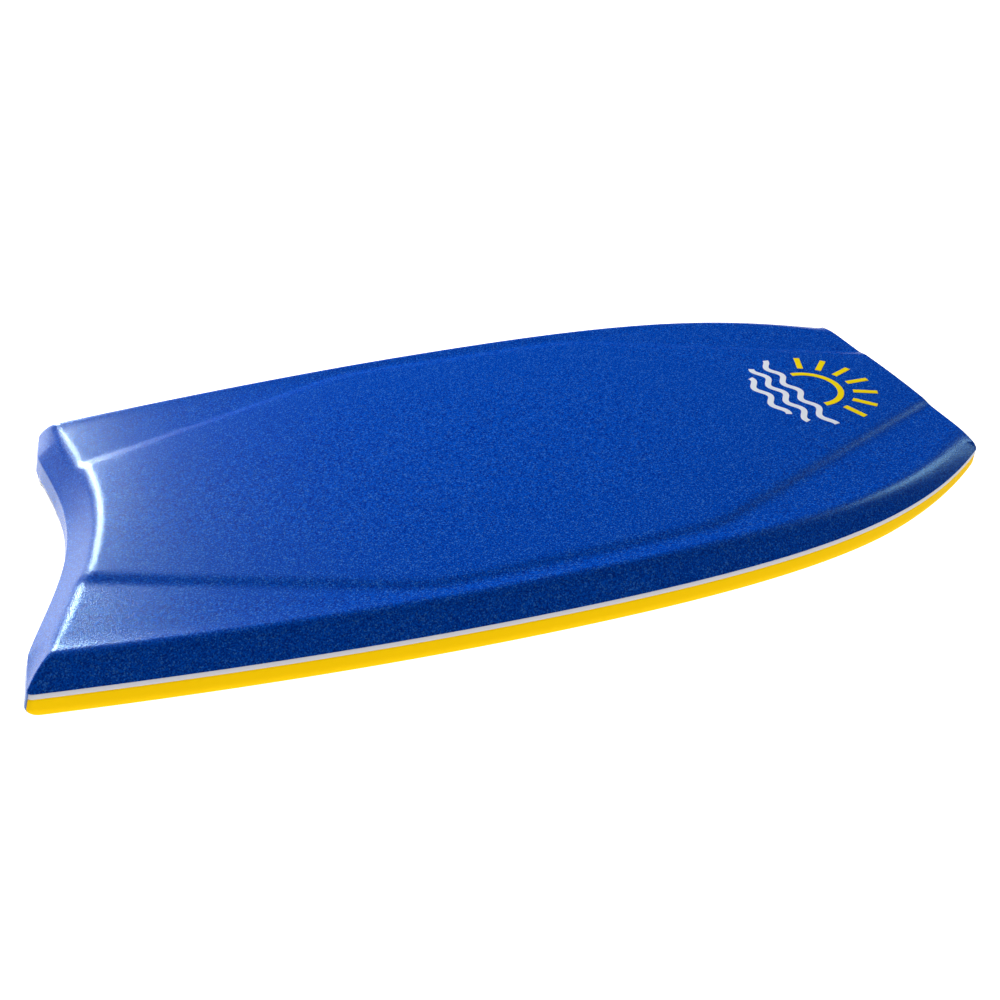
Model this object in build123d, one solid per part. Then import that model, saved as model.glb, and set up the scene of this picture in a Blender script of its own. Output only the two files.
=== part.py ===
from build123d import *
import math
import os

# A prone bodyboard: a glued foam laminate with a crescent tail, a squared nose and chined rails.
# Frame: origin under the middle of the board on the surface it rests on, +X to the nose, +Y to the
# rider's left, +Z up. Millimetres. Lengthwise places are given as u, 0 at the tail and 1 at the nose.

# Overall size
LENGTH = 1067.0
HALF_WIDTH = 279.0
THICKNESS = 54.0
WIDEST_AT = 0.54

# Outline: how fast the rails draw in, as shares of the half width
TAIL_TAPER = (0.170, -0.012)
NOSE_TAPER = (0.148, 0.269)

# Side view
ROCKER_RISE = 11.5
ROCKER_FROM = 0.52
NOSE_DROP = 2.6
NOSE_DROP_FROM = 0.55

# Rail, from the bottom up
BOTTOM_TUCK = 5.7
TUCK_HEIGHT = 13.0
PINSTRIPE_LOW = 23.6
PINSTRIPE_TOP = 29.6
CHINE_INSET = 20.5
CHINE_DROP = 3.2
CREASE_START = 0.76

# Deck: a raised centre panel with a shallow valley round it
PANEL_HALF_TAIL = 85.0
PANEL_HALF_WIDE = 229.0
PANEL_WIDE_FROM = 0.361
PANEL_HALF_FORWARD = 225.0
PANEL_WIDE_TO = 0.650
PANEL_HALF_NOSE = 68.0
PANEL_CORNER_BLEND = 4.0
DECK_CROWN = 1.0
STEP_HALF = 8.0
VALLEY_DEPTH = 3.2
LIP_DEPTH = 2.5
LIP_INSET = 27.0

# Tail crescent: a hollow between two blunt pegs, with a wall that leans up to the pinstripe's
# height and a bevel from there up to the deck edge
TAIL_WALL_DEPTH = 34.0
TAIL_WALL_POWER = 1.15
TAIL_PEG_FROM = 0.77
TAIL_WALL_FOOT = 10.0
TAIL_WALL_LEAN = 7.0
TAIL_DECK_CORNER = 22.0
TAIL_DECK_DEPTH = 54.5
TAIL_DECK_POWER = 0.95

# Nose
NOSE_BOW = 4.5
NOSE_CORNER_RADIUS = 20.0

# Layers
SLICK_SKIN = 0.8
SLICK_MESH = 0.5
SLICK_BACKING = 2.5
DECK_SKIN = 3.2
OUTER_RAIL = 4.0
INNER_RAIL = 6.0
TAIL_STRIP = 5.0
NOSE_BUMPER = 6.0
MARK_FILM = 0.3

# Tail channels in the slick
CHANNEL_LENGTH = 300.0
CHANNEL_WIDTH = 64.0
CHANNEL_DEPTH = 4.0
CHANNEL_Y = 128.0

# Stringer
STRINGER_OD = 12.0
STRINGER_ID = 10.0
STRINGER_TAIL = -430.0
STRINGER_NOSE = 370.0
STRINGER_Z = 27.0
CAP_THICKNESS = 3.0
SPIGOT_LENGTH = 18.0

# Printed mark near the nose: half a sun over three waves, its upright pointing to the nose
MARK_X = 402.0
MARK_STROKE = 7.5
SUN_RADIUS = 44.0
RAY_INNER = 56.0
RAY_OUTER = 86.0
RAY_COUNT = 7
RAY_SPREAD = 138.0
WAVE_COUNT = 3
WAVE_FIRST = 21.0
WAVE_GAP = 21.0
WAVE_HALF_LENGTHS = (86.0, 70.0, 48.0)
WAVE_PITCH = 43.0
WAVE_HEIGHT = 5.0

# Working allowances
OVERRUN = 20.0
FAR = 420.0
STATIONS = (-0.02, 0.06, 0.14, 0.22, 0.29, 0.34, 0.38, 0.43, 0.50, 0.57, 0.62, 0.66, 0.71,
            0.78, 0.85, 0.91, 0.96, 1.0, 1.03)


def x_at(u):
    return (u - 0.5) * LENGTH


def half_width(u):
    """Half the width at the widest line of the rail."""
    if u < WIDEST_AT:
        s = (WIDEST_AT - u) / WIDEST_AT
        a, b = TAIL_TAPER
    else:
        s = (u - WIDEST_AT) / (1.0 - WIDEST_AT)
        a, b = NOSE_TAPER
    return HALF_WIDTH * (1.0 - a * s**2 - b * s**4)


def rocker(u):
    """Height of the bottom above the surface it rests on."""
    return ROCKER_RISE * (max(0.0, u - ROCKER_FROM) / (1.0 - ROCKER_FROM)) ** 2


def deck_height(u):
    return THICKNESS - NOSE_DROP * (max(0.0, u - NOSE_DROP_FROM) / (1.0 - NOSE_DROP_FROM)) ** 2


def panel_half(u):
    """Half width of the raised panel: three straight runs with softened corners."""
    rise = (PANEL_HALF_WIDE - PANEL_HALF_TAIL) / PANEL_WIDE_FROM
    fall = (PANEL_HALF_FORWARD - PANEL_HALF_NOSE) / (1.0 - PANEL_WIDE_TO)
    drift = (PANEL_HALF_FORWARD - PANEL_HALF_WIDE) / (PANEL_WIDE_TO - PANEL_WIDE_FROM)
    runs = (
        PANEL_HALF_TAIL + rise * u,
        PANEL_HALF_WIDE + drift * (u - PANEL_WIDE_FROM),
        PANEL_HALF_NOSE + fall * (1.0 - u),
    )
    total = sum(math.exp(-run / PANEL_CORNER_BLEND) for run in runs)
    return -PANEL_CORNER_BLEND * math.log(total)


def section_wire(u, skin):
    """Closed cross-section at u. skin is 0 for the outside, or the depth of the deck skin."""
    x = x_at(u)
    side = half_width(u) - (OUTER_RAIL if skin else 0.0)
    low = rocker(u)
    shoulder = low + PINSTRIPE_TOP
    top = deck_height(u)
    rise = top - CHINE_DROP - shoulder
    slope = math.hypot(CHINE_INSET, rise)
    panel = panel_half(u)
    # Corners from the rail's foot to the edge of the panel, and the directions of travel there
    under = (side - BOTTOM_TUCK, -OVERRUN)
    foot = (side - BOTTOM_TUCK, low)
    waist = (side, low + TUCK_HEIGHT)
    crease = (
        half_width(u) - CREASE_START * CHINE_INSET - skin * rise / slope,
        shoulder + CREASE_START * rise - skin * CHINE_INSET / slope,
    )
    lip = (half_width(u) - LIP_INSET, top - LIP_DEPTH - skin)
    valley = (panel + STEP_HALF, top - VALLEY_DEPTH - skin)
    edge = (panel - STEP_HALF, top - DECK_CROWN - skin)
    chine_way = (-CHINE_INSET, rise)
    band_way = (valley[0] - lip[0], valley[1] - lip[1])
    crown_way = (-edge[0], 2.0 * DECK_CROWN)

    def point(at, sign):
        return Vector(x, sign * at[0], at[1])

    def run(start, end, sign):
        return Edge.make_line(point(start, sign), point(end, sign))

    def bend(start, start_way, end, end_way, sign):
        """Cubic between two corners that leaves and arrives in the given directions."""
        reach = math.dist(start, end) / 3.0
        a = reach / math.hypot(*start_way)
        b = reach / math.hypot(*end_way)
        first = (start[0] + a * start_way[0], start[1] + a * start_way[1])
        second = (end[0] - b * end_way[0], end[1] - b * end_way[1])
        return Edge.make_bezier(*[point(at, sign) for at in (start, first, second, end)])

    edges = [Edge.make_line(point(under, -1), point(under, 1))]
    for sign in (1, -1):
        edges.append(run(under, foot, sign))
        edges.append(bend(foot, (BOTTOM_TUCK, TUCK_HEIGHT), waist, (0.0, 1.0), sign))
        edges.append(run(waist, (side, shoulder), sign))
        edges.append(run((side, shoulder), crease, sign))
        edges.append(bend(crease, chine_way, lip, band_way, sign))
        edges.append(run(lip, valley, sign))
        edges.append(bend(valley, band_way, edge, crown_way, sign))
    reach = 2.0 * edge[0] / 3.0
    high = edge[1] + reach * crown_way[1] / edge[0]
    crown = [edge, (edge[0] - reach, high), (reach - edge[0], high), (-edge[0], edge[1])]
    edges.append(Edge.make_bezier(*[point(at, 1) for at in crown]))
    return Wire(edges)


def envelope(skin):
    """Body lofted through every station: the outside of the board, or what lies under its skin."""
    return Solid.make_loft([section_wire(u, skin) for u in STATIONS])


def below(height):
    """Everything lower than a surface that runs height above the bottom, channels included."""
    back = -0.5 * LENGTH - 2.0 * OVERRUN
    start = x_at(ROCKER_FROM)
    end = 0.5 * LENGTH + 2.0 * OVERRUN
    rise = ROCKER_RISE * ((end - start) / (0.5 * LENGTH - start)) ** 2
    under = -2.0 * OVERRUN
    corners = ((end, 0, height + rise), (end, 0, under), (back, 0, under), (back, 0, height))
    edges = [
        Edge.make_line(corners[3], (start, 0, height)),
        Edge.make_bezier((start, 0, height), (0.5 * (start + end), 0, height), corners[0]),
    ]
    edges += [Edge.make_line(corners[i], corners[i + 1]) for i in range(3)]
    slab = extrude(Face(Wire(edges)), amount=FAR, dir=(0, 1, 0), both=True)
    return slab + [channel(height, sign) for sign in (1, -1)]


def channel(height, sign):
    """Wedge that is deepest at the tail and runs out towards the middle of the board."""
    tail = -0.5 * LENGTH
    run_out = tail + CHANNEL_LENGTH * (1.0 + height / CHANNEL_DEPTH)
    wedge = Polygon(
        (tail - OVERRUN, -OVERRUN),
        (run_out, -OVERRUN),
        (run_out, 0),
        (tail, CHANNEL_DEPTH + height),
        (tail - OVERRUN, CHANNEL_DEPTH + height),
        align=None,
    )
    half = 0.5 * CHANNEL_WIDTH + height
    return Pos(0, sign * CHANNEL_Y, 0) * extrude(Plane.XZ * wedge, amount=half, both=True)


def tail_line(z, lean, share):
    """Crescent at height z. share is 0 for the wall's curve and 1 for the deck edge's."""
    half = half_width(0.0)
    points = []
    for i in range(17):
        y = half * (i / 8.0 - 1.0)
        hollow = math.cos(0.5 * math.pi * min(1.0, abs(y) / (TAIL_PEG_FROM * half)))
        wall = lean + TAIL_WALL_DEPTH * max(0.0, hollow) ** TAIL_WALL_POWER
        rim = max(0.0, math.cos(0.5 * math.pi * y / half))
        deck = TAIL_DECK_CORNER + TAIL_DECK_DEPTH * rim**TAIL_DECK_POWER
        points.append(Vector(-0.5 * LENGTH + wall + share * (deck - wall), y, z))
    back = -0.5 * LENGTH - 2.0 * OVERRUN
    ends = (Vector(points[0].X, -FAR, z), Vector(back, -FAR, z), Vector(back, FAR, z),
            Vector(points[-1].X, FAR, z))
    edges = [Edge.make_spline(points), Edge.make_line(points[-1], ends[3])]
    edges += [Edge.make_line(ends[3], ends[2]), Edge.make_line(ends[2], ends[1])]
    edges += [Edge.make_line(ends[1], ends[0]), Edge.make_line(ends[0], points[0])]
    return Wire(edges)


def tail_cut():
    """What the crescent takes away: an upright foot, a leaning wall and a bevel to the deck."""
    foot = tail_line(TAIL_WALL_FOOT, 0.0, 0.0)
    shoulder = tail_line(PINSTRIPE_TOP, TAIL_WALL_LEAN, 0.0)
    above = OVERRUN / 4.0
    share = 1.0 + above / (THICKNESS - PINSTRIPE_TOP)
    upper = tail_line(THICKNESS + above, TAIL_WALL_LEAN, share)
    base = extrude(Face(tail_line(-OVERRUN, 0.0, 0.0)), amount=TAIL_WALL_FOOT + OVERRUN, dir=(0, 0, 1))
    wall = Solid.make_loft([foot, shoulder], ruled=True)
    return base + wall + Solid.make_loft([shoulder, upper], ruled=True)


def nose_block():
    """What the nose leaves: a slightly bowed front with rounded corners."""
    corner = (0.5 * LENGTH - NOSE_BOW, half_width(1.0))
    slope = (half_width(1.0) - half_width(0.98)) / (0.02 * LENGTH)
    wide = (corner[0] + (FAR - corner[1]) / slope, FAR)
    face = Face(Wire(bowed_front(corner) + behind(wide) + [
        Edge.make_line(wide, corner),
        Edge.make_line((wide[0], -wide[1]), (corner[0], -corner[1])),
    ]))
    sharp = [v for v in face.vertices() if abs(v.X - corner[0]) < 1.0]
    return upright(face.fillet_2d(NOSE_CORNER_RADIUS, sharp))


def behind_front(setback):
    """Everything behind a surface that runs parallel to the front, setback behind it."""
    corner = (0.5 * LENGTH - NOSE_BOW, half_width(1.0))
    wide = (corner[0] - NOSE_BOW, FAR)
    face = Face(Wire(bowed_front(corner) + behind(wide) + [
        Edge.make_line(wide, corner),
        Edge.make_line((wide[0], -wide[1]), (corner[0], -corner[1])),
    ]))
    return Pos(-setback, 0, 0) * upright(face)


def bowed_front(corner):
    x, y = corner
    return [Edge.make_three_point_arc((x, y), (x + NOSE_BOW, 0), (x, -y))]


def behind(wide):
    """The three sides of a block that reaches back past the tail from its widest points."""
    x, y = wide
    back = -0.5 * LENGTH - 2.0 * OVERRUN
    corners = ((x, y), (back, y), (back, -y), (x, -y))
    return [Edge.make_line(corners[i], corners[i + 1]) for i in range(3)]


def upright(face):
    """Block with the given plan, taller than the board on both sides."""
    return Pos(0, 0, -2.0 * OVERRUN) * extrude(face, amount=THICKNESS + 4.0 * OVERRUN, dir=(0, 0, 1))


def inside_rails(inset):
    """Upright block between the two rails, drawn in from the outline by inset."""
    left = [Vector(x_at(u), half_width(u) - inset, 0) for u in STATIONS]
    right = [Vector(v.X, -v.Y, v.Z) for v in left]
    edges = [Edge.make_spline(left), Edge.make_line(left[-1], right[-1])]
    edges += [Edge.make_spline(right), Edge.make_line(right[0], left[0])]
    return upright(Face(Wire(edges)))


def stringer():
    tube = Solid.make_cylinder(0.5 * STRINGER_OD, STRINGER_NOSE - STRINGER_TAIL)
    tube = tube - Solid.make_cylinder(0.5 * STRINGER_ID, STRINGER_NOSE - STRINGER_TAIL)
    return along_centre(tube, STRINGER_TAIL)


def along_centre(solid, x):
    """Lays a solid made along +Z onto the stringer's line, starting at x."""
    return Pos(x, 0, STRINGER_Z) * Rot(0, 90, 0) * solid


def nose_cap():
    """Disc over the tube's front end with a spigot inside it."""
    disc = Solid.make_cylinder(0.5 * STRINGER_OD, CAP_THICKNESS)
    spigot = Solid.make_cylinder(0.5 * STRINGER_ID, SPIGOT_LENGTH)
    return along_centre(disc, STRINGER_NOSE) + along_centre(spigot, STRINGER_NOSE - SPIGOT_LENGTH)


def tail_dowel(core):
    """Foam dowel that fills the bore behind the tube, with a spigot inside the tube."""
    dowel = along_centre(Solid.make_cylinder(0.5 * STRINGER_OD, FAR), STRINGER_TAIL - FAR)
    spigot = along_centre(Solid.make_cylinder(0.5 * STRINGER_ID, SPIGOT_LENGTH), STRINGER_TAIL)
    return (core & dowel) + spigot


def wave(index):
    """One wave of the mark: a ribbon along a sine, lying across the board."""
    reach = WAVE_HALF_LENGTHS[index]
    x = MARK_X - WAVE_FIRST - WAVE_GAP * index
    count = round(4.0 * reach / WAVE_PITCH) * 2
    points = []
    for i in range(count + 1):
        y = reach * (2.0 * i / count - 1.0)
        points.append(Vector(x + WAVE_HEIGHT * math.cos(2.0 * math.pi * y / WAVE_PITCH), y, 0))
    line = Edge.make_spline(points)
    shift = Vector(MARK_STROKE, 0, 0)
    edges = [line, Edge.make_line(points[-1], points[-1] + shift)]
    edges.append(Edge.make_spline([p + shift for p in points]))
    edges.append(Edge.make_line(points[0], points[0] + shift))
    return Face(Wire(edges))


def sun():
    """Open half ring with rays, rising towards the nose."""
    front = Pos(0.5 * FAR, 0) * Rectangle(FAR, FAR)
    ring = (Circle(SUN_RADIUS) - Circle(SUN_RADIUS - MARK_STROKE)) & front
    ray = Pos(0.5 * (RAY_INNER + RAY_OUTER), 0) * Rectangle(RAY_OUTER - RAY_INNER, MARK_STROKE)
    turns = [RAY_SPREAD * (i / (RAY_COUNT - 1) - 0.5) for i in range(RAY_COUNT)]
    shapes = [ring] + [Rot(0, 0, turn) * ray for turn in turns]
    return [Pos(MARK_X, 0) * shape.face() for shape in shapes]


def film(faces, outside):
    """Printed film of the given outlines, lying on the deck."""
    lifted = Pos(0, 0, MARK_FILM) * outside
    solids = []
    for face in faces:
        column = extrude(face, amount=THICKNESS + OVERRUN, dir=(0, 0, 1))
        solids += ((column & lifted) - outside).solids()
    return solids


def save(name, *solids):
    shape = solids[0] if len(solids) == 1 else Compound(children=list(solids))
    export_step(shape, f"parts/{name}.step")


def sides(shape):
    """The left and the right piece of a pair."""
    pair = shape.solids().sort_by(Axis.Y)
    return (("right", pair[0]), ("left", pair[-1]))


def main():
    os.makedirs("parts", exist_ok=True)
    outside = envelope(0.0)
    under_skin = envelope(DECK_SKIN)
    crescent = tail_cut()
    front = nose_block()

    # Bottom layers come off the trimmed board first, from the slick up
    board = ((outside - crescent) & front) - below(0.0)
    save("slick_skin", board & below(SLICK_SKIN))
    board = board - below(SLICK_SKIN)
    shell = board - under_skin
    body = board & under_skin
    save("slick_mesh", body & below(SLICK_SKIN + SLICK_MESH))
    body = body - below(SLICK_SKIN + SLICK_MESH)
    floor = below(SLICK_SKIN + SLICK_MESH + SLICK_BACKING)
    save("slick_backing", body & floor)
    body = body - floor

    # Rails: the white strip and the yellow one below it
    upper_line = below(PINSTRIPE_TOP)
    for side, strip in sides((shell & upper_line) - below(PINSTRIPE_LOW)):
        save(f"pinstripe_{side}", strip)
    for side, strip in sides(shell & below(PINSTRIPE_LOW)):
        save(f"outer_rail_{side}", strip)

    # Deck skin: over the deck and chines, and down over both ends to the level of the pinstripe
    low_body = body & upper_line
    high_body = (body - upper_line - Pos(DECK_SKIN, 0, 0) * crescent) & behind_front(DECK_SKIN)
    save("deck_skin", (shell - upper_line) + ((body - upper_line) - high_body))

    # Strips that close the two ends under the skin, then the inner rails and the core
    tail_side = Pos(TAIL_STRIP, 0, 0) * crescent
    nose_side = behind_front(NOSE_BUMPER)
    save("tail_strip", low_body & tail_side)
    save("nose_bumper", low_body - nose_side)
    body = high_body + ((low_body - tail_side) & nose_side)
    middle = inside_rails(OUTER_RAIL + INNER_RAIL)
    for side, strip in sides(body - middle):
        save(f"inner_rail_{side}", strip)
    drill = Solid.make_cylinder(0.5 * STRINGER_OD, STRINGER_NOSE + CAP_THICKNESS + LENGTH)
    core = body & middle
    save("stringer_plug_tail", tail_dowel(core))
    save("foam_core", core - along_centre(drill, -LENGTH))
    save("stringer_tube", stringer())
    save("stringer_plug_nose", nose_cap())

    # Printed films
    save("deck_mark_white", *film([wave(i) for i in range(WAVE_COUNT)], outside))
    save("deck_mark_yellow", *film(sun(), outside))


if __name__ == "__main__":
    main()
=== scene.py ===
import math

import bpy
import numpy as np
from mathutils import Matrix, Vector


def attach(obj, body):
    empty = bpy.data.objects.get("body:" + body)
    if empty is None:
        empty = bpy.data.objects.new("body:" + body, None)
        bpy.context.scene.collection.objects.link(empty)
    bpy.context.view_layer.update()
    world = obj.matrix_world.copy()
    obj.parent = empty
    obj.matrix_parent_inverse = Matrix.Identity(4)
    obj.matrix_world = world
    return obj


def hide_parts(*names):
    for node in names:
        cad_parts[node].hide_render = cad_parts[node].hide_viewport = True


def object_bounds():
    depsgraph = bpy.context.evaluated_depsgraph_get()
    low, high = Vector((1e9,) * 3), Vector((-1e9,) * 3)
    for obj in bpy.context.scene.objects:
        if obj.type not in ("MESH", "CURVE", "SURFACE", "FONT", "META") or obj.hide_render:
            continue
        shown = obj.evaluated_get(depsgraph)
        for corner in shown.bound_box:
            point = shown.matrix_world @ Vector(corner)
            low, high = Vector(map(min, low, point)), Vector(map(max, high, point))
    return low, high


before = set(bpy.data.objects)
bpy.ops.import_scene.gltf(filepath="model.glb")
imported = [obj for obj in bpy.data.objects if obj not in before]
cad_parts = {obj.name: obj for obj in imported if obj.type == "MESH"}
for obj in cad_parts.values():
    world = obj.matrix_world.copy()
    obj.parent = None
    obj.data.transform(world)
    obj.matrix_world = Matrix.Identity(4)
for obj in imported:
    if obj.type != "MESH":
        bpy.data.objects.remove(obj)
cad_low, cad_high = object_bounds()


# ---- Foam core and inner rails -------------------------------------------------------------------
# The core is expanded polypropylene bead foam, shaped before the skins go on. A strip of white
# polyethylene foam is welded along each of its sides, as a bed for the outer rail.

def new_material(name, color, roughness, bump, bump_depth, scale, specular=0.5):
    """Principled material whose surface is roughened by cells of about 1/scale metres."""
    mat = bpy.data.materials.new(name)
    mat.use_nodes = True
    nodes, links = mat.node_tree.nodes, mat.node_tree.links
    shader = nodes["Principled BSDF"]
    shader.inputs["Base Color"].default_value = (*color, 1.0)
    shader.inputs["Roughness"].default_value = roughness
    shader.inputs["Specular IOR Level"].default_value = specular
    where = nodes.new("ShaderNodeTexCoord")
    cells = nodes.new("ShaderNodeTexVoronoi")
    cells.inputs["Scale"].default_value = scale
    relief = nodes.new("ShaderNodeBump")
    relief.inputs["Strength"].default_value = bump
    relief.inputs["Distance"].default_value = bump_depth
    links.new(where.outputs["Object"], cells.inputs["Vector"])
    links.new(cells.outputs["Distance"], relief.inputs["Height"])
    links.new(relief.outputs["Normal"], shader.inputs["Normal"])
    return mat


def dress(node, mat):
    """Gives a CAD piece its material."""
    piece = bpy.data.objects[node]
    piece.data.materials.clear()
    piece.data.materials.append(mat)


BEAD_SIZE = 0.004
bead_foam = new_material("bead_foam", (0.80, 0.80, 0.78), 0.7, 0.6, 0.0006, 1 / BEAD_SIZE)
for node in ("foam_core", "inner_rail_left", "inner_rail_right"):
    dress(node, bead_foam)


# ---- Stringer ------------------------------------------------------------------------------------
# A pultruded carbon tube glued into a bore along the centre line. A cap closes its front end and a
# foam dowel fills the bore behind it.

carbon = new_material("carbon_tube", (0.03, 0.03, 0.035), 0.25, 0.15, 0.0002, 1600)
dowel_foam = new_material("dowel_foam", (0.04, 0.04, 0.04), 0.8, 0.5, 0.0004, 700)
dress("stringer_tube", carbon)
dress("stringer_plug_tail", dowel_foam)
dress("stringer_plug_nose", dowel_foam)


# ---- Slick: backing, mesh and bottom skin --------------------------------------------------------
# Three layers are laminated under the core: a white closed-cell foam sheet, a woven plastic mesh
# that stops the board from creasing, and a hard glossy film that carries the two tail channels.

LENGTH = cad_high.x - cad_low.x
HALF_WIDTH = cad_high.y
THICKNESS = cad_high.z
X_TAIL = cad_low.x
X_NOSE = cad_high.x
WIDEST_AT = 0.54
TAIL_TAPER = (0.170, -0.012)
NOSE_TAPER = (0.148, 0.269)
NOSE_FULLNESS = 0.003
NOSE_FULLNESS_POWER = 12
ROCKER_RISE = 0.0115
ROCKER_FROM = 0.52


def along(x):
    """Share of the length from the tail, 0, to the nose, 1."""
    return (x - X_TAIL) / LENGTH


def half_width(x):
    """Half the width at the widest line of the rail."""
    u = along(x)
    tail = (WIDEST_AT - u) / WIDEST_AT
    nose = (u - WIDEST_AT) / (1.0 - WIDEST_AT)
    drawn_tail = TAIL_TAPER[0] * tail**2 + TAIL_TAPER[1] * tail**4
    drawn_nose = NOSE_TAPER[0] * nose**2 + NOSE_TAPER[1] * nose**4
    full = NOSE_FULLNESS * np.maximum(0.0, nose) ** NOSE_FULLNESS_POWER
    return HALF_WIDTH * (1.0 - np.where(u < WIDEST_AT, drawn_tail, drawn_nose)) + full


def rocker(x):
    """Height of the bottom above the surface that the board rests on."""
    return ROCKER_RISE * (np.maximum(0.0, along(x) - ROCKER_FROM) / (1.0 - ROCKER_FROM)) ** 2


TAIL_HALF = float(half_width(X_TAIL))
NOSE_HALF = float(half_width(X_NOSE))
PINSTRIPE_LOW = 0.0236
PINSTRIPE_TOP = 0.0296
TAIL_WALL = (0.034, 1.15)
TAIL_PEG_FROM = 0.77
TAIL_WALL_FOOT = 0.010
TAIL_WALL_LEAN = 0.007
TAIL_DECK_CORNER = 0.022
TAIL_DECK = (0.0545, 0.95)
TAIL_TUCK = (0.009, 0.013)
NOSE_BOW = 0.0045
NOSE_TUCK = (0.006, 0.012)


def tail_wall(y, z):
    """The crescent between its two pegs, leaning forward above its foot."""
    hollow = np.cos(0.5 * math.pi * np.minimum(1.0, np.abs(y) / (TAIL_PEG_FROM * TAIL_HALF)))
    up = max(0.0, z - TAIL_WALL_FOOT) / (PINSTRIPE_TOP - TAIL_WALL_FOOT)
    return X_TAIL + TAIL_WALL[0] * np.maximum(0.0, hollow) ** TAIL_WALL[1] + TAIL_WALL_LEAN * up


def tail_rim(y):
    """The deck's edge above the crescent."""
    hollow = np.maximum(0.0, np.cos(0.5 * math.pi * y / TAIL_HALF))
    return X_TAIL + TAIL_DECK_CORNER + TAIL_DECK[0] * hollow ** TAIL_DECK[1]


def nose_line(y):
    """The nose's slightly bowed front."""
    return X_NOSE - NOSE_BOW * (y / NOSE_HALF) ** 2


RAIL_TUCK = (0.0055, 0.013)
RAIL_TUCK_AT_NOSE = 0.0125
TUCK_GROWS_FROM = 0.82
TUCK_GROWS_OVER = 0.14


def rail_tuck(x):
    """How far the rail's bottom edge is drawn in: further where it runs into the nose."""
    share = np.clip((along(x) - TUCK_GROWS_FROM) / TUCK_GROWS_OVER, 0.0, 1.0)
    return RAIL_TUCK[0] + (RAIL_TUCK_AT_NOSE - RAIL_TUCK[0]) * share * share * (3.0 - 2.0 * share)


# Every level of the outline is a ring of four sides, with its corners rounded
RAIL_POINTS = 220
END_POINTS = 150
CORNER_POINTS = 12
END_CROWDING = 0.72
TAIL_CORNER = 0.008
NOSE_CORNER = 0.008
NOSE_CORNER_ALONG = NOSE_CORNER * 0.8
CORNER_STEPS = 40


def spread(count, crowding):
    """Shares from 0 to 1, closer together near both ends."""
    t = np.linspace(0.0, 1.0, count)
    return t - crowding * np.sin(2.0 * math.pi * t) / (2.0 * math.pi)


def ring(rail_share, tail_inset, nose_inset, z):
    """One level of the outline as its right rail, from tail to nose, and its tail and nose ends,
    from right to left. The left rail is the right one mirrored."""

    def rail_at(x):
        return half_width(x) - rail_share * rail_tuck(x)

    def tail_at(y):
        return tail_wall(y, z) + tail_inset

    def front_at(y):
        return nose_line(y) - nose_inset

    def corner(line):
        """Where the rail and the line across an end would meet in a sharp corner."""
        y = TAIL_HALF
        for _ in range(CORNER_STEPS):
            y = float(rail_at(line(y)))
        return float(line(y)), y

    tail_x, tail_y = corner(tail_at)
    nose_x, nose_y = corner(front_at)
    rail_from, rail_to = tail_x + TAIL_CORNER, nose_x - NOSE_CORNER_ALONG
    tail_from, nose_from = tail_y - TAIL_CORNER, nose_y - NOSE_CORNER

    def rounding(start, sharp, end):
        """Quadratic curve from start to end that the sharp corner draws outwards."""
        t = np.linspace(0.0, 1.0, 2 * CORNER_POINTS + 1)[:, None]
        a, b, c = (np.array(p, dtype=float) for p in (start, sharp, end))
        return (1 - t) ** 2 * a + 2 * t * (1 - t) * b + t**2 * c

    tail_turn = rounding(
        (float(tail_at(tail_from)), tail_from), (tail_x, tail_y), (rail_from, float(rail_at(rail_from)))
    )
    nose_turn = rounding(
        (rail_to, float(rail_at(rail_to))), (nose_x, nose_y), (float(front_at(nose_from)), nose_from)
    )
    x = rail_from + (rail_to - rail_from) * spread(RAIL_POINTS, END_CROWDING)
    middle = np.stack([x, rail_at(x)], axis=1)
    rail = np.concatenate([tail_turn[CORNER_POINTS:-1], middle, nose_turn[1 : CORNER_POINTS + 1]])
    ends = []
    for line, reach, lead in (
        (tail_at, tail_from, tail_turn[CORNER_POINTS:0:-1]),
        (front_at, nose_from, nose_turn[CORNER_POINTS:-1]),
    ):
        y = reach * (1.0 - 2.0 * spread(END_POINTS, END_CROWDING))
        across = np.stack([line(y), y], axis=1)
        ends.append(np.concatenate([lead, across, lead[::-1] * (1, -1)]))
    return {"left": rail, "right": rail * (1, -1), "tail": ends[0], "nose": ends[1]}


def fill(sides):
    """Grid of points inside a ring, drawn smoothly between its four sides."""
    left, right, tail, nose = (sides[k] for k in ("left", "right", "tail", "nose"))
    p = (left[:, 0] - left[0, 0]) / (left[-1, 0] - left[0, 0])
    q = (tail[:, 1] - tail[0, 1]) / (tail[-1, 1] - tail[0, 1])
    p, q = p[:, None, None], q[None, :, None]
    across = (1 - q) * left[:, None] + q * right[:, None]
    length = (1 - p) * tail[None] + p * nose[None]
    ends = (1 - p) * ((1 - q) * left[0] + q * right[0]) + p * ((1 - q) * left[-1] + q * right[-1])
    return across + length - ends


CHANNEL_LENGTH = 0.300
CHANNEL_HALF = 0.032
CHANNEL_DEPTH = 0.004
CHANNEL_Y = 0.128
CHANNEL_EDGE = 0.010


def ease(t):
    """Smooth rise from 0 to 1."""
    t = np.clip(t, 0.0, 1.0)
    return t * t * (3.0 - 2.0 * t)


def channel(x, y):
    """Height of the two tail channels, deepest at the tail."""
    fade = np.clip(1.0 - (x - X_TAIL) / CHANNEL_LENGTH, 0.0, 1.0)
    off = np.abs(np.abs(y) - CHANNEL_Y)
    return CHANNEL_DEPTH * fade * ease((CHANNEL_HALF + 0.5 * CHANNEL_EDGE - off) / CHANNEL_EDGE)


EDGE_ANGLE = math.radians(50.0)
SHARP_ANGLE = math.radians(35.0)


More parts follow.
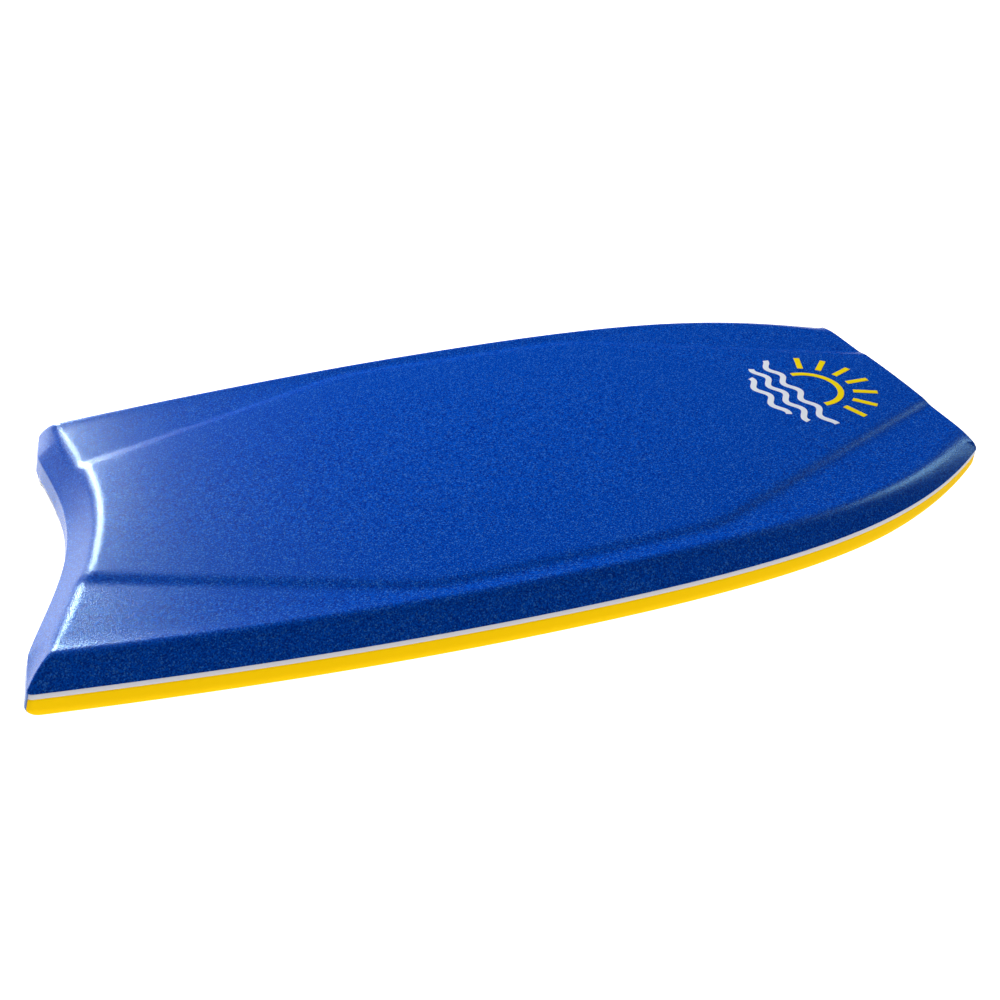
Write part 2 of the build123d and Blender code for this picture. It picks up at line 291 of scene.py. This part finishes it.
def sheet_mesh(name, grid, mat, thickness, flip=False, bevel=0.0):
    """Solid sheet whose outer face is a grid of points, shape (rows, columns, 3)."""
    rows, cols = grid.shape[:2]
    index = np.arange(rows * cols).reshape(rows, cols)
    quads = np.stack([index[:-1, :-1], index[1:, :-1], index[1:, 1:], index[:-1, 1:]], axis=-1)
    quads = quads.reshape(-1, 4)
    if flip:
        quads = quads[:, ::-1]
    mesh = bpy.data.meshes.new(name)
    mesh.from_pydata(grid.reshape(-1, 3).tolist(), [], quads.tolist())
    mesh.materials.append(mat)
    piece = bpy.data.objects.new(name, mesh)
    bpy.context.scene.collection.objects.link(piece)
    wall = piece.modifiers.new("wall", "SOLIDIFY")
    wall.thickness = thickness
    wall.offset = -1.0
    wall.use_even_offset = True
    if bevel:
        edge = piece.modifiers.new("edge", "BEVEL")
        edge.width = bevel
        edge.segments = 2
        edge.limit_method = "ANGLE"
        edge.angle_limit = EDGE_ANGLE
    shape = piece.evaluated_get(bpy.context.evaluated_depsgraph_get())
    solid = bpy.data.meshes.new_from_object(shape)
    piece.modifiers.clear()
    piece.data = solid
    solid.name = name
    solid.polygons.foreach_set("use_smooth", [True] * len(solid.polygons))
    solid.set_sharp_from_angle(angle=SHARP_ANGLE)
    return piece


def stands_for(piece, node):
    """Shows the piece in place of a CAD node."""
    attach(piece, "root")
    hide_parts(node)


SLICK_SKIN = 0.0008
bottom = fill(ring(1.0, TAIL_TUCK[0], NOSE_TUCK[0], 0.0))
x, y = bottom[..., 0], bottom[..., 1]
slick_film = new_material("slick_film", (1.0, 0.55, 0.0), 0.22, 0.1, 0.0002, 400)
slick = sheet_mesh(
    "slick_film", np.dstack([x, y, rocker(x) + channel(x, y)]), slick_film, SLICK_SKIN
)
stands_for(slick, "slick_skin")
backing_foam = new_material("backing_foam", (0.88, 0.88, 0.88), 0.7, 0.4, 0.0003, 900)
mesh_weave = new_material("mesh_weave", (0.12, 0.12, 0.13), 0.6, 0.8, 0.0003, 350)
dress("slick_backing", backing_foam)
dress("slick_mesh", mesh_weave)


# ---- Outer rails ---------------------------------------------------------------------------------
# Yellow polyethylene foam strips, welded along both sides and tucked under at the bottom edge.

RAIL_THICK = 0.004
TUCK_ROWS = 9
TUCK_CROWDING = 1.3
FLAT_ROWS = 5


def tuck(z, depth, height):
    """How far the bottom edge is drawn in at a height, as a quarter of an ellipse."""
    up = np.clip(z / height, 0.0, 1.0)
    return depth * (1.0 - math.sqrt(1.0 - (1.0 - up) ** 2))


def wall_ring(z):
    """Ring at a height above the bottom, below the deck skin."""
    return ring(tuck(z, 1.0, RAIL_TUCK[1]), tuck(z, *TAIL_TUCK), tuck(z, *NOSE_TUCK), z)


def wall(side, heights):
    """Grid up the side of the board at the given heights above the bottom."""
    rows = []
    for z in heights:
        flat = wall_ring(z)[side]
        lift = rocker(flat[:, 0])
        rows.append(np.column_stack([flat, lift + z]))
    return np.array(rows)


rail_foam = new_material("rail_foam", (1.0, 0.62, 0.0), 0.6, 0.25, 0.0002, 900, 0.02)
rail_heights = np.concatenate([
    SLICK_SKIN + (RAIL_TUCK[1] - SLICK_SKIN) * np.linspace(0.0, 1.0, TUCK_ROWS)[:-1] ** TUCK_CROWDING,
    np.linspace(RAIL_TUCK[1], PINSTRIPE_LOW, FLAT_ROWS),
])
for side, flip in (("left", False), ("right", True)):
    strip = sheet_mesh(
        f"outer_rail_{side}_foam", wall(side, rail_heights), rail_foam, RAIL_THICK, flip, 0.0005
    )
    stands_for(strip, f"outer_rail_{side}")


# ---- Pinstripes ----------------------------------------------------------------------------------
# Thin white polyethylene strips, welded between the outer rail and the edge of the deck skin.

pinstripe_foam = new_material("pinstripe_foam", (0.62, 0.61, 0.65), 0.5, 0.2, 0.0002, 900, 0.3)
for side, flip in (("left", False), ("right", True)):
    strip = sheet_mesh(
        f"pinstripe_{side}_foam",
        wall(side, np.linspace(PINSTRIPE_LOW, PINSTRIPE_TOP, 4)),
        pinstripe_foam,
        RAIL_THICK,
        flip,
        0.0004,
    )
    stands_for(strip, f"pinstripe_{side}")


# ---- Tail strip and nose bumper ------------------------------------------------------------------
# Two strips of the deck's blue foam close the ends between the rails, under the skin's edge. The
# tail strip is notched over the channels.

TAIL_STRIP = 0.005
NOSE_BUMPER = 0.006
END_ROWS = 13
END_ROW_CROWDING = 1.2


def end_wall(side):
    """Grid up one end, from the slick to the edge of the deck skin."""
    rows = []
    for share in np.linspace(0.0, 1.0, END_ROWS) ** END_ROW_CROWDING:
        z = SLICK_SKIN + share * (PINSTRIPE_TOP - SLICK_SKIN)
        flat = wall_ring(z)[side]
        lift = rocker(flat[:, 0]) + (1.0 - share) * channel(flat[:, 0], flat[:, 1])
        rows.append(np.column_stack([flat, lift + z]))
    return np.array(rows)


PEBBLES_PER_METRE = 620.0
PAINTED_GLINTS_PER_METRE = 800.0
PEBBLE_RELIEF = 0.0005
# Blue foam of the deck skin and both end strips. Its colour carries painted glints and painted shade in
# the pebbles, set up below.
deck_foam = bpy.data.materials.new("deck_foam")
deck_foam.use_nodes = True
nodes, links = deck_foam.node_tree.nodes, deck_foam.node_tree.links
shader = nodes["Principled BSDF"]
shader.inputs["Roughness"].default_value = 0.27
shader.inputs["Specular IOR Level"].default_value = 0.6
shader.inputs["Specular Tint"].default_value = (0.06, 0.66, 1.0, 1)
where = nodes.new("ShaderNodeTexCoord")
pebble = nodes.new("ShaderNodeTexNoise")
pebble.inputs["Scale"].default_value = PEBBLES_PER_METRE
pebble.inputs["Detail"].default_value = 2.0
# Scattered light blue flecks, mixed into the colour where these cells peak, are painted glints: painted
# highlights on the pebbled face.
painted_glint_cells = nodes.new("ShaderNodeTexVoronoi")
painted_glint_cells.inputs["Scale"].default_value = PAINTED_GLINTS_PER_METRE
# The pebbles' noise also tints the deck: the darker blue in their hollows is painted shade and the
# lighter blue on their tops is painted light, around the foam's own blue.
pebble_blue_painted_shade = nodes.new("ShaderNodeValToRGB")
pebble_blue_painted_shade.color_ramp.elements[0].position = 0.36
pebble_blue_painted_shade.color_ramp.elements[0].color = (0.0, 0.022, 0.27, 1)
pebble_blue_painted_shade.color_ramp.elements[1].position = 0.64
pebble_blue_painted_shade.color_ramp.elements[1].color = (0.0, 0.092, 0.64, 1)
pick = nodes.new("ShaderNodeSeparateColor")
painted_glint_strength = nodes.new("ShaderNodeMapRange")
painted_glint_strength.inputs["From Min"].default_value = 0.74
painted_glint_strength.inputs["From Max"].default_value = 1.0
painted_glint_strength.inputs["To Max"].default_value = 0.28
painted_glint_mix = nodes.new("ShaderNodeMix")
painted_glint_mix.data_type = "RGBA"
painted_glint_mix.inputs["B"].default_value = (0.12, 0.42, 1.0, 1)
relief = nodes.new("ShaderNodeBump")
relief.inputs["Strength"].default_value = 0.5
relief.inputs["Distance"].default_value = PEBBLE_RELIEF
for texture in (pebble, painted_glint_cells):
    links.new(where.outputs["Object"], texture.inputs["Vector"])
links.new(pebble.outputs["Fac"], pebble_blue_painted_shade.inputs["Fac"])
links.new(painted_glint_cells.outputs["Color"], pick.inputs["Color"])
links.new(pick.outputs["Red"], painted_glint_strength.inputs["Value"])
links.new(painted_glint_strength.outputs["Result"], painted_glint_mix.inputs["Factor"])
links.new(pebble_blue_painted_shade.outputs["Color"], painted_glint_mix.inputs["A"])
links.new(painted_glint_mix.outputs["Result"], shader.inputs["Base Color"])
links.new(pebble.outputs["Fac"], relief.inputs["Height"])
links.new(relief.outputs["Normal"], shader.inputs["Normal"])
for side, flip, thick, node in (
    ("tail", True, TAIL_STRIP, "tail_strip"),
    ("nose", False, NOSE_BUMPER, "nose_bumper"),
):
    strip = sheet_mesh(f"{node}_foam", end_wall(side), deck_foam, thick, flip, 0.0004)
    stands_for(strip, node)


# ---- Deck skin -----------------------------------------------------------------------------------
# One sheet of blue cross-linked polyethylene foam, about 3 mm thick, with a fine pebbled face. It is
# heat-formed over the contoured core, down both chines and over both ends to the pinstripe's level.

DECK_SKIN = 0.0032
CHINE_INSET = 0.0205
CHINE_DROP = 0.0032
NOSE_DROP = 0.0026
NOSE_DROP_FROM = 0.55
PANEL_HALF = (0.085, 0.229, 0.225, 0.068)
PANEL_AT = (0.361, 0.650)
PANEL_BLEND = 0.004
BAND_LEAST = 0.004
DECK_CROWN = 0.0010
STEP_HALF = 0.0120
VALLEY_DEPTH = 0.0044
LIP_DEPTH = 0.0022
LIP_INSET = 0.027
SWELL_HEIGHT = 0.0014
SWELL_WIDTH = 0.013
CREASE_ROUND = 0.0095
TAIL_ROUND = 0.0060
NOSE_ROUND = 0.0120
NOSE_SLOPE = 4.0


def deck_top(x):
    """Height of the deck on the centre line."""
    drop = np.maximum(0.0, along(x) - NOSE_DROP_FROM) / (1.0 - NOSE_DROP_FROM)
    return THICKNESS - NOSE_DROP * drop**2


def panel_half(x):
    """Half width of the raised panel: three straight runs with softened corners."""
    u = along(x)
    tail, wide, forward, nose = PANEL_HALF
    start, end = PANEL_AT
    runs = np.array([
        tail + (wide - tail) / start * u,
        wide + (forward - wide) / (end - start) * (u - start),
        nose + (forward - nose) / (1.0 - end) * (1.0 - u),
    ])
    return -PANEL_BLEND * np.log(np.sum(np.exp(-runs / PANEL_BLEND), axis=0))


def lower(a, b, blend):
    """The lower of two surfaces, rounded where they meet."""
    near = np.maximum(blend - np.abs(a - b), 0.0) / blend
    return np.minimum(a, b) - near * near * blend * 0.25


def deck_face(x, y):
    """Contoured deck without its edges."""
    off, top, panel = np.abs(y), deck_top(x), panel_half(x)
    raised = top - DECK_CROWN * (off / panel) ** 2
    outer = half_width(x) - LIP_INSET
    rise = (off - panel) / np.maximum(outer - panel, BAND_LEAST)
    band = top - VALLEY_DEPTH + (VALLEY_DEPTH - LIP_DEPTH) * np.clip(rise, 0.0, 2.0)
    t = np.clip((off - panel + STEP_HALF) / (2.0 * STEP_HALF), 0.0, 1.0)
    step = t * t * t * (t * (6.0 * t - 15.0) + 10.0)
    swell = np.exp(-(((half_width(x) - CHINE_INSET - off) / SWELL_WIDTH) ** 2))
    return raised + (band - raised) * step + SWELL_HEIGHT * swell


def skin_height(x, y):
    """Outer face of the deck skin: deck, chines and both ends, rounded into each other."""
    shoulder = rocker(x) + PINSTRIPE_TOP
    slope = (deck_top(x) - CHINE_DROP - shoulder) / CHINE_INSET
    chine = shoulder + np.maximum(0.0, half_width(x) - np.abs(y)) * slope
    wall = tail_wall(y, PINSTRIPE_TOP)
    share = np.maximum(0.0, x - wall) / (tail_rim(y) - wall)
    bevel = PINSTRIPE_TOP + (THICKNESS - PINSTRIPE_TOP) * share
    front = shoulder + np.maximum(0.0, nose_line(y) - x) * NOSE_SLOPE
    sides = lower(chine, deck_face(x, y), CREASE_ROUND)
    ends = lower(bevel, sides, TAIL_ROUND)
    return lower(front, ends, NOSE_ROUND)


edge = wall_ring(PINSTRIPE_TOP)
plan = fill(edge)
x, y = plan[..., 0], plan[..., 1]
z = skin_height(x, y)

# The edge of the skin has to meet the strips below it exactly, at the corners too
CORNER_REACH = 0.010
line = rocker(x) + PINSTRIPE_TOP
miss = np.zeros_like(z)
border = [(0, slice(None)), (-1, slice(None)), (slice(None), 0), (slice(None), -1)]
border_points = np.concatenate([plan[place] for place in border])
border_miss = np.concatenate([(line - z)[place] for place in border])
for i in range(plan.shape[0]):
    gap = np.linalg.norm(plan[i, :, None] - border_points[None], axis=-1)
    nearest = np.argmin(gap, axis=1)
    reach = np.take_along_axis(gap, nearest[:, None], axis=1)[:, 0]
    miss[i] = border_miss[nearest] * np.exp(-((reach / CORNER_REACH) ** 2))
z = z + miss
for place in border:
    z[place] = line[place]

deck = sheet_mesh("deck_skin_foam", np.dstack([x, y, z]), deck_foam, DECK_SKIN, flip=True)
stands_for(deck, "deck_skin")


# ---- Printed mark --------------------------------------------------------------------------------
# A half sun over three waves, printed on the deck near the nose in thin matt ink. The ink follows
# the deck's face.

MARK_X = 0.402
MARK_STROKE = 0.0075
MARK_FILM = 0.0003
RING_POINTS = 48
WAVE_POINTS = 97
SUN_SIZES = {
    "Ring radius": 0.04025,
    "Ray count": 7,
    "Ray middle": 0.071,
    "Ray length": 0.030,
    "Ray spread": math.radians(138.0),
}
WAVE_SIZES = {
    "Wave count": 3,
    "First wave": 0.01725,
    "Wave gap": 0.021,
    "First reach": 0.086,
    "Reach loss": 0.013,
    "Reach loss growth": 0.003,
    "Wave pitch": 0.043,
    "Wave height": 0.005,
}


class Tree:
    """Geometry tree with named number inputs, whose result is laid on the deck as a film of ink."""

    def __init__(self, name, sizes):
        self.group = bpy.data.node_groups.new(name, "GeometryNodeTree")
        face = self.group.interface
        face.new_socket("Geometry", in_out="OUTPUT", socket_type="NodeSocketGeometry")
        for label, value in sizes.items():
            kind = "NodeSocketInt" if isinstance(value, int) else "NodeSocketFloat"
            face.new_socket(label, in_out="INPUT", socket_type=kind)
        self.sizes = sizes
        self.size = self.group.nodes.new("NodeGroupInput").outputs

    def add(self, kind, values=None, output=0, **settings):
        """New node with its inputs set or linked. Gives back one of its outputs."""
        node = self.group.nodes.new(kind)
        for key, value in settings.items():
            setattr(node, key, value)
        for key, value in (values or {}).items():
            if isinstance(value, bpy.types.NodeSocket):
                self.group.links.new(value, node.inputs[key])
            else:
                node.inputs[key].default_value = value
        return node.outputs[output]

    def math(self, operation, a, b):
        return self.add("ShaderNodeMath", {0: a, 1: b}, operation=operation)

    def vector(self, x, y, z):
        return self.add("ShaderNodeCombineXYZ", {"X": x, "Y": y, "Z": z})

    def split(self, vector):
        node = self.group.nodes.new("ShaderNodeSeparateXYZ")
        self.group.links.new(vector, node.inputs[0])
        return node.outputs

    def ribbon(self, curve):
        """Closed strip of ink along a flat curve."""
        level = self.add("GeometryNodeSetCurveNormal", {"Curve": curve}, mode="Z_UP")
        size = {"Width": MARK_STROKE, "Height": MARK_FILM}
        profile = self.add("GeometryNodeCurvePrimitiveQuadrilateral", size)
        strip = {"Curve": level, "Profile Curve": profile, "Fill Caps": True}
        flat = {"Geometry": self.add("GeometryNodeCurveToMesh", strip), "Shade Smooth": False}
        return self.add("GeometryNodeSetShadeSmooth", flat)

    def drape(self, shape, deck, ink):
        """Moves flat shapes to the mark's place, lays them on the deck and realizes them."""
        whole = self.add("GeometryNodeRealizeInstances", {"Geometry": shape})
        spot = self.split(self.add("GeometryNodeInputPosition"))
        x = self.math("ADD", spot["X"], MARK_X)
        y = spot["Y"]
        ray = {
            "Target Geometry": self.add("GeometryNodeObjectInfo", {"Object": deck}, "Geometry"),
            "Source Position": self.vector(x, y, 2.0 * THICKNESS),
            "Ray Direction": (0.0, 0.0, -1.0),
            "Ray Length": 2.0 * THICKNESS,
        }
        hit = self.split(self.add("GeometryNodeRaycast", ray, "Hit Position"))
        film = self.math("ADD", spot["Z"], 0.5 * MARK_FILM)
        z = self.math("ADD", hit["Z"], film)
        moved = {"Geometry": whole, "Position": self.vector(x, y, z)}
        laid = self.add("GeometryNodeSetPosition", moved)
        done = self.add("GeometryNodeSetMaterial", {"Geometry": laid, "Material": ink})
        self.group.links.new(done, self.group.nodes.new("NodeGroupOutput").inputs["Geometry"])

    def grow(self, name):
        """Plain mesh object made by the tree."""
        piece = bpy.data.objects.new(name, bpy.data.meshes.new(name))
        bpy.context.scene.collection.objects.link(piece)
        made = piece.modifiers.new("made", "NODES")
        made.node_group = self.group
        for item in self.group.interface.items_tree:
            if item.in_out == "INPUT":
                made[item.identifier] = self.sizes[item.name]
        shape = piece.evaluated_get(bpy.context.evaluated_depsgraph_get())
        plain = bpy.data.meshes.new_from_object(shape)
        # Joining bare parts leaves an empty slot in front of the ink's
        for slot in reversed(range(len(plain.materials))):
            if plain.materials[slot] is None:
                plain.materials.pop(index=slot)
        piece.modifiers.clear()
        piece.data = plain
        plain.name = name
        return piece


white_ink = new_material("white_ink", (0.80, 0.84, 0.92), 0.5, 0.25, 0.0002, 700, 0.3)
yellow_ink = new_material("yellow_ink", (0.95, 0.72, 0.0), 0.5, 0.25, 0.0002, 700, 0.2)

sun = Tree("half_sun", SUN_SIZES)
half_turn = {
    "Resolution": RING_POINTS,
    "Radius": sun.size["Ring radius"],
    "Start Angle": -0.5 * math.pi,
    "Sweep Angle": math.pi,
}
sun_ring = sun.ribbon(sun.add("GeometryNodeCurveArc", half_turn))
start = sun.math("MULTIPLY", sun.size["Ray spread"], -0.5)
gaps = sun.math("SUBTRACT", sun.size["Ray count"], 1.0)
fan = {
    "Resolution": sun.size["Ray count"],
    "Radius": sun.size["Ray middle"],
    "Start Angle": start,
    "Sweep Angle": sun.size["Ray spread"],
}
arc = sun.add("GeometryNodeCurveArc", fan)
feet = sun.add("GeometryNodeCurveToPoints", {"Curve": arc}, mode="EVALUATED")
share = sun.math("DIVIDE", sun.add("GeometryNodeInputIndex"), gaps)
turn = sun.math("ADD", sun.math("MULTIPLY", share, sun.size["Ray spread"]), start)
bar = {
    "Size": sun.vector(sun.size["Ray length"], MARK_STROKE, MARK_FILM),
    "Vertices X": 8,
    "Vertices Y": 3,
}
rays = {
    "Points": feet,
    "Instance": sun.add("GeometryNodeMeshCube", bar),
    "Rotation": sun.vector(0.0, 0.0, turn),
}
parts = sun.group.nodes.new("GeometryNodeJoinGeometry")
for part in (sun_ring, sun.add("GeometryNodeInstanceOnPoints", rays)):
    sun.group.links.new(part, parts.inputs[0])
sun.drape(parts.outputs[0], deck, yellow_ink)

waves = Tree("three_waves", WAVE_SIZES)
line = waves.add("GeometryNodeCurvePrimitiveLine", {"Start": (0, -1, 0), "End": (0, 1, 0)})
line = waves.add("GeometryNodeResampleCurve", {"Curve": line, "Count": WAVE_POINTS})
first = waves.math("MULTIPLY", waves.size["First wave"], -1.0)
gap = waves.math("MULTIPLY", waves.size["Wave gap"], -1.0)
places = {
    "Count": waves.size["Wave count"],
    "Start Location": waves.vector(first, 0.0, 0.0),
    "Offset": waves.vector(gap, 0.0, 0.0),
}
number = waves.add("GeometryNodeInputIndex")
loss = waves.math("MULTIPLY", number, waves.size["Reach loss growth"])
loss = waves.math("ADD", loss, waves.size["Reach loss"])
reach = waves.math("SUBTRACT", waves.size["First reach"], waves.math("MULTIPLY", loss, number))
rows = {
    "Points": waves.add("GeometryNodeMeshLine", places),
    "Instance": line,
    "Scale": waves.vector(1.0, reach, 1.0),
}
lines = waves.add("GeometryNodeInstanceOnPoints", rows)
lines = waves.add("GeometryNodeRealizeInstances", {"Geometry": lines})
spot = waves.split(waves.add("GeometryNodeInputPosition"))
phase = waves.math("DIVIDE", spot["Y"], waves.size["Wave pitch"])
angle = waves.math("MULTIPLY", phase, 2.0 * math.pi)
swing = waves.add("ShaderNodeMath", {0: angle}, operation="COSINE")
sway = waves.vector(waves.math("MULTIPLY", swing, waves.size["Wave height"]), 0.0, 0.0)
bent = waves.add("GeometryNodeSetPosition", {"Geometry": lines, "Offset": sway})
waves.drape(waves.ribbon(bent), deck, white_ink)

for tree, color in ((sun, "yellow"), (waves, "white")):
    stands_for(tree.grow(f"deck_mark_{color}_ink"), f"deck_mark_{color}")


# ---- Studio --------------------------------------------------------------------------------------
# Plain pale floor that glows a little, white backdrop and camera above the rider's right side. Two
# strips and a low panel give the edges their highlights, the others fill in.

FLOOR = 12.0
FLOOR_LEVEL = -0.0002
corners = ((-FLOOR, -FLOOR), (FLOOR, -FLOOR), (FLOOR, FLOOR), (-FLOOR, FLOOR))
floor_mesh = bpy.data.meshes.new("floor")
floor_mesh.from_pydata([(x, y, FLOOR_LEVEL) for x, y in corners], [], [(0, 1, 2, 3)])
floor = bpy.data.objects.new("floor", floor_mesh)
bpy.context.scene.collection.objects.link(floor)
floor_mat = bpy.data.materials.new("floor_paper")
floor_mat.use_nodes = True
paper = floor_mat.node_tree.nodes["Principled BSDF"].inputs
paper["Base Color"].default_value = (0.25, 0.25, 0.25, 1)
paper["Roughness"].default_value = 0.9
paper["Emission Color"].default_value = (1, 1, 1, 1)
paper["Emission Strength"].default_value = 1.35
floor_mesh.materials.append(floor_mat)

TAIL_DECK_SPOT = (-0.45, 0, 0.05)
NOSE_DECK_SPOT = (0.5, -0.1, 0.05)
MIDDLE = (0, 0, 0)
# Name, place, what it points at, width, height, power, whether it shows in reflections
LIGHTS = [
    ("tail_light", (-1.22, 2.65, 0.94), TAIL_DECK_SPOT, 0.5, 0.9, 68, True),
    ("horizon", (-2.6, 4.2, 0.35), TAIL_DECK_SPOT, 3.5, 0.7, 24, True),
    ("nose_light", (2.34, 0.49, 1.59), NOSE_DECK_SPOT, 0.35, 0.14, 8, True),
    ("front", (0.6, -3.2, 0.25), MIDDLE, 3.5, 0.4, 9, True),
    ("top", (-1.3, 2.9, 2.3), MIDDLE, 2.4, 1.6, 150, False),
]
for name, place, target, width, height, power, mirrored in LIGHTS:
    lamp = bpy.data.lights.new(name, "AREA")
    lamp.shape = "RECTANGLE"
    lamp.size, lamp.size_y = width, height
    lamp.energy = power
    holder = bpy.data.objects.new(name, lamp)
    way = Vector(target) - Vector(place)
    holder.rotation_euler = way.to_track_quat("-Z", "Y").to_euler()
    holder.location = place
    holder.visible_glossy = mirrored
    bpy.context.scene.collection.objects.link(holder)

# The backdrop is seen as white and lights the board only a little
BACKDROP_LIGHT = 0.12
world = bpy.data.worlds.new("studio")
world.use_nodes = True
world.node_tree.nodes["Background"].inputs["Color"].default_value = (1, 1, 1, 1)
seen = world.node_tree.nodes.new("ShaderNodeLightPath")
strength = world.node_tree.nodes.new("ShaderNodeMapRange")
strength.inputs["To Min"].default_value = BACKDROP_LIGHT
strength.inputs["To Max"].default_value = 1.0
backdrop = world.node_tree.nodes["Background"].inputs["Strength"]
world.node_tree.links.new(seen.outputs["Is Camera Ray"], strength.inputs["Value"])
world.node_tree.links.new(strength.outputs["Result"], backdrop)
bpy.context.scene.world = world
world.cycles_visibility.glossy = False
bpy.context.scene.view_settings.view_transform = "Standard"

CAMERA_PLACE = (-0.3368, -1.0200, 0.7136)
CAMERA_TURN = (55.321, 0.287, -18.074)
camera = bpy.data.cameras.new("camera")
camera.lens = 38.78
camera.sensor_width = 36.0
eye = bpy.data.objects.new("camera", camera)
eye.location = CAMERA_PLACE
eye.rotation_euler = [math.radians(turn) for turn in CAMERA_TURN]
bpy.context.scene.collection.objects.link(eye)
bpy.context.scene.camera = eye
